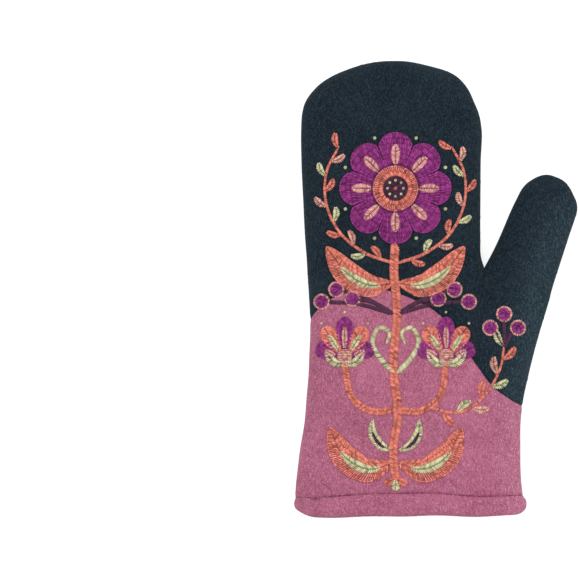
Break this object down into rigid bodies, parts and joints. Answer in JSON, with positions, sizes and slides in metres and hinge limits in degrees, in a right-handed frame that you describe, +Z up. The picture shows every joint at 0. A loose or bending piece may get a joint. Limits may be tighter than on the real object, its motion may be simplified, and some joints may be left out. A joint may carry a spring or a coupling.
{
  "type": "felt mitten",
  "caption": "Long-cuffed felt mitten in two colours, with an open cuff, a separate thumb and a rolled hem, lying on its palm.",
  "frame": {"origin": "on the surface that the mitten lies on, under the middle of its whole outline", "axes": "+Y runs from the open cuff to the fingertips, +X to the thumb, +Z up out of the embroidered back"},
  "size_m": [0.1875, 0.3, 0.0324],
  "materials": {
    "felt_navy": "matt heathered wool felt, dark blue-green",
    "felt_pink": "matt heathered wool felt, dusty pink",
    "thread_violet": "glossy embroidery thread, violet",
    "thread_coral": "glossy embroidery thread, coral",
    "thread_green": "glossy embroidery thread, pale celery green",
    "thread_rose": "glossy embroidery thread, rose",
    "thread_plum": "glossy embroidery thread, dark plum"
  },
  "bodies": {
    "root": {"back_upper": "felt_navy", "back_gauntlet": "felt_pink", "palm_upper": "felt_navy", "palm_gauntlet": "felt_pink", "rolled_hem": "felt_pink"}
  },
  "joints": []
}
